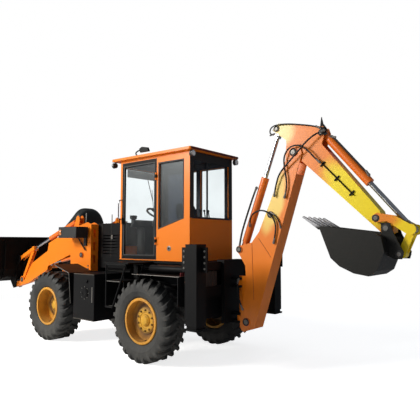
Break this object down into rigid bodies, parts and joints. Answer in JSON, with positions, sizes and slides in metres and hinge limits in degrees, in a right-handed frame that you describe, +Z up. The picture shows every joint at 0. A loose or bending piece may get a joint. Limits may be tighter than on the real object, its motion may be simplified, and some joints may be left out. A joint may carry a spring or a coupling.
{
  "type": "backhoe loader",
  "caption": "Rigid-frame backhoe loader with four equal wheels: front loader bucket on lifting arms, glazed cab, and a folding digging arm on a side-shift carriage.",
  "frame": {"origin": "on the ground, midway along the length and width of the machine", "axes": "+X towards the loader bucket (front), +Y to the machine's left, +Z up"},
  "size_m": [8.86, 2.1, 3.315],
  "materials": {
    "body_paint": "gloss with dirt and rust",
    "yellow_paint": "worn gloss",
    "black_paint": "worn satin",
    "bucket_steel": "worn and scratched",
    "tyre": "matt, dusty",
    "rod_chrome": "polished",
    "cast": "rough",
    "glass": "clear",
    "seat_cover": "woven",
    "lamp_plastic": "gloss"
  },
  "bodies": {
    "frame": {"main_frame": "black_paint", "driveline": "cast", "engine": "cast", "loader_towers": "body_paint", "engine_hood": "black_paint", "front_cowl": "black_paint", "front_axle": "black_paint", "rear_axle": "black_paint", "cab_shell": "body_paint", "cab_glass": "glass", "cab_roof": "body_paint", "seat_base": "black_paint", "seat": "seat_cover", "steering_column": "black_paint", "hoe_controls": "black_paint", "roof_lamps": "lamp_plastic", "head_lamps": "black_paint", "fenders": "black_paint", "side_tanks": "black_paint", "steps": "black_paint", "rear_frame": "black_paint", "valve_block": "cast"},
    "door": {"door": "body_paint", "door_glass": "glass"},
    "knuckle_left": {"knuckle_left": "black_paint"},
    "knuckle_right": {"knuckle_right": "black_paint"},
    "tie_rod": {"tie_rod": "black_paint"},
    "wheel_front_left": {"rim_front_left": "yellow_paint", "tyre_front_left": "tyre"},
    "wheel_front_right": {"rim_front_right": "yellow_paint", "tyre_front_right": "tyre"},
    "wheel_rear_left": {"rim_rear_left": "yellow_paint", "tyre_rear_left": "tyre"},
    "wheel_rear_right": {"rim_rear_right": "yellow_paint", "tyre_rear_right": "tyre"},
    "leg_left": {"leg_left": "black_paint"},
    "leg_right": {"leg_right": "black_paint"},
    "carriage": {"carriage": "body_paint"},
    "swing_post": {"swing_post": "body_paint"},
    "boom": {"boom": "body_paint"},
    "boom_barrel": {"boom_barrel": "yellow_paint"},
    "boom_rod": {"boom_rod": "rod_chrome"},
    "dipper": {"dipper": "body_paint", "dipper_pipe": "black_paint"},
    "dipper_barrel": {"dipper_barrel": "yellow_paint"},
    "dipper_rod": {"dipper_rod": "rod_chrome"},
    "crowd_barrel": {"crowd_barrel": "yellow_paint"},
    "crowd_rod": {"crowd_rod": "rod_chrome"},
    "hoe_levers": {"hoe_levers": "body_paint"},
    "hoe_link": {"hoe_link": "body_paint"},
    "hoe_bucket": {"hoe_bucket": "bucket_steel"},
    "loader_arms": {"loader_arms": "body_paint"},
    "lift_barrels": {"lift_barrels": "body_paint"},
    "lift_rods": {"lift_rods": "rod_chrome"},
    "loader_bucket": {"loader_bucket": "body_paint"},
    "tilt_levers": {"tilt_levers": "body_paint"},
    "tilt_links": {"tilt_links": "body_paint"},
    "tilt_barrels": {"tilt_barrels": "body_paint"},
    "tilt_rods": {"tilt_rods": "rod_chrome"}
  },
  "joints": [
    {"name": "door_hinge", "type": "hinge", "parent": "frame", "child": "door", "pos_m": [-0.76, 0.525, 2.2], "axis": [0, 0, 1], "range_deg": [0, 100]},
    {"name": "steer", "type": "hinge", "parent": "frame", "child": "knuckle_left", "pos_m": [1.4975, 0.58, 0.59], "axis": [0, 0, 1], "range_deg": [-28, 28]},
    {"name": "steer_right", "type": "hinge", "parent": "frame", "child": "knuckle_right", "pos_m": [1.4975, -0.58, 0.59], "axis": [0, 0, 1], "range_deg": [-28.5, 28.5]},
    {"name": "tie_rod_slide", "type": "slide", "parent": "frame", "child": "tie_rod", "axis": [0, 1, 0], "range_m": [-0.09589, 0.09589]},
    {"name": "spin_front_left", "type": "hinge", "parent": "knuckle_left", "child": "wheel_front_left", "pos_m": [1.4975, 0.811, 0.59], "axis": [0, 1, 0], "continuous": true},
    {"name": "spin_front_right", "type": "hinge", "parent": "knuckle_right", "child": "wheel_front_right", "pos_m": [1.4975, -0.811, 0.59], "axis": [0, 1, 0], "continuous": true},
    {"name": "spin_rear_left", "type": "hinge", "parent": "frame", "child": "wheel_rear_left", "pos_m": [-0.9375, 0.811, 0.59], "axis": [0, 1, 0], "continuous": true},
    {"name": "spin_rear_right", "type": "hinge", "parent": "frame", "child": "wheel_rear_right", "pos_m": [-0.9375, -0.811, 0.59], "axis": [0, 1, 0], "continuous": true},
    {"name": "leg_left_slide", "type": "slide", "parent": "frame", "child": "leg_left", "axis": [0, 0, -1], "range_m": [0, 0.57]},
    {"name": "leg_right_slide", "type": "slide", "parent": "frame", "child": "leg_right", "axis": [0, 0, -1], "range_m": [0, 0.57]},
    {"name": "side_shift", "type": "slide", "parent": "frame", "child": "carriage", "axis": [0, 1, 0], "range_m": [-0.35, 0.35]},
    {"name": "swing", "type": "hinge", "parent": "carriage", "child": "swing_post", "pos_m": [-2, 0, 0.88], "axis": [0, 0, 1], "range_deg": [-65, 65]},
    {"name": "boom_lift", "type": "hinge", "parent": "swing_post", "child": "boom", "pos_m": [-2.16, 0, 0.6], "axis": [0, 1, 0], "range_deg": [-110, 4]},
    {"name": "boom_barrel_tilt", "type": "hinge", "parent": "swing_post", "child": "boom_barrel", "pos_m": [-2.145, 0, 0.93], "axis": [0, 1, 0], "range_deg": [-117.2, 4.84]},
    {"name": "boom_rod_slide", "type": "slide", "parent": "boom_barrel", "child": "boom_rod", "axis": [-0.3467, 0, 0.938], "range_m": [-0.02338, 0.53682]},
    {"name": "dipper_crowd", "type": "hinge", "parent": "boom", "child": "dipper", "pos_m": [-2.93, 0, 2.89], "axis": [0, 1, 0], "range_deg": [-20, 80]},
    {"name": "dipper_barrel_tilt", "type": "hinge", "parent": "boom", "child": "dipper_barrel", "pos_m": [-2.045, 0, 1.604], "axis": [0, 1, 0], "range_deg": [-0.9, 1.8]},
    {"name": "dipper_rod_slide", "type": "slide", "parent": "dipper_barrel", "child": "dipper_rod", "axis": [-0.3534, 0, 0.9355], "range_m": [-0.56644, 0.14461]},
    {"name": "hoe_bucket_curl", "type": "hinge", "parent": "dipper", "child": "hoe_bucket", "pos_m": [-4.115, 0, 1.865], "axis": [0, -1, 0], "range_deg": [-130, 4]},
    {"name": "hoe_lever_turn", "type": "hinge", "parent": "dipper", "child": "hoe_levers", "pos_m": [-3.995, 0, 1.985], "axis": [0, -1, 0], "range_deg": [-102.24, 3.73]},
    {"name": "hoe_link_turn", "type": "hinge", "parent": "hoe_bucket", "child": "hoe_link", "pos_m": [-4.25, 0, 1.575], "axis": [0, -1, 0], "range_deg": [-2.6, 65.52]},
    {"name": "crowd_barrel_tilt", "type": "hinge", "parent": "dipper", "child": "crowd_barrel", "pos_m": [-3.32, 0, 3.095], "axis": [0, -1, 0], "range_deg": [-10.35, 0.9]},
    {"name": "crowd_rod_slide", "type": "slide", "parent": "crowd_barrel", "child": "crowd_rod", "axis": [-0.6447, 0, -0.7644], "range_m": [-0.6094, 0.02263]},
    {"name": "loader_lift", "type": "hinge", "parent": "frame", "child": "loader_arms", "pos_m": [1.43, 0, 1.85], "axis": [0, -1, 0], "range_deg": [-18, 60]},
    {"name": "lift_barrel_tilt", "type": "hinge", "parent": "frame", "child": "lift_barrels", "pos_m": [1.13, 0, 1.48], "axis": [0, -1, 0], "range_deg": [-13.69, 44.22]},
    {"name": "lift_rod_slide", "type": "slide", "parent": "lift_barrels", "child": "lift_rods", "axis": [0.9864, 0, -0.1644], "range_m": [-0.09411, 0.30437]},
    {"name": "loader_bucket_dump", "type": "hinge", "parent": "loader_arms", "child": "loader_bucket", "pos_m": [3.53, 0, 0.815], "axis": [0, 1, 0], "range_deg": [-8, 60]},
    {"name": "tilt_lever_turn", "type": "hinge", "parent": "loader_arms", "child": "tilt_levers", "pos_m": [3.265, 0, 0.93], "axis": [0, 1, 0], "range_deg": [-7.85, 54.95]},
    {"name": "tilt_link_turn", "type": "hinge", "parent": "loader_bucket", "child": "tilt_links", "pos_m": [3.365, 0, 1.365], "axis": [0, 1, 0], "range_deg": [-35.85, 5.3]},
    {"name": "tilt_barrel_tilt", "type": "hinge", "parent": "loader_arms", "child": "tilt_barrels", "pos_m": [1.33, 0, 2.12], "axis": [0, 1, 0], "range_deg": [-9.9, 1.84]},
    {"name": "tilt_rod_slide", "type": "slide", "parent": "tilt_barrels", "child": "tilt_rods", "axis": [0.942, 0, -0.3356], "range_m": [-0.09083, 0.65522]}
  ],
  "couplings": [
    {"joint": "steer_right", "follows": "steer", "ratio": 1},
    {"joint": "tie_rod_slide", "follows": "steer", "m_per_rad": -0.19213},
    {"joint": "boom_barrel_tilt", "follows": "boom_lift", "ratio": 1.06},
    {"joint": "boom_rod_slide", "follows": "boom_lift", "m_per_rad": -0.27753},
    {"joint": "dipper_barrel_tilt", "follows": "dipper_crowd", "ratio": 0.015},
    {"joint": "dipper_rod_slide", "follows": "dipper_crowd", "m_per_rad": -0.40281},
    {"joint": "hoe_lever_turn", "follows": "hoe_bucket_curl", "ratio": 0.78186},
    {"joint": "hoe_link_turn", "follows": "hoe_bucket_curl", "ratio": -0.49939},
    {"joint": "crowd_barrel_tilt", "follows": "hoe_bucket_curl", "ratio": 0.075},
    {"joint": "crowd_rod_slide", "follows": "hoe_bucket_curl", "m_per_rad": 0.26682},
    {"joint": "lift_barrel_tilt", "follows": "loader_lift", "ratio": 0.72693},
    {"joint": "lift_rod_slide", "follows": "loader_lift", "m_per_rad": 0.28683},
    {"joint": "tilt_lever_turn", "follows": "loader_bucket_dump", "ratio": 0.90587},
    {"joint": "tilt_link_turn", "follows": "loader_bucket_dump", "ratio": -0.58753},
    {"joint": "tilt_barrel_tilt", "follows": "loader_bucket_dump", "ratio": -0.155},
    {"joint": "tilt_rod_slide", "follows": "loader_bucket_dump", "m_per_rad": 0.62187}
  ]
}
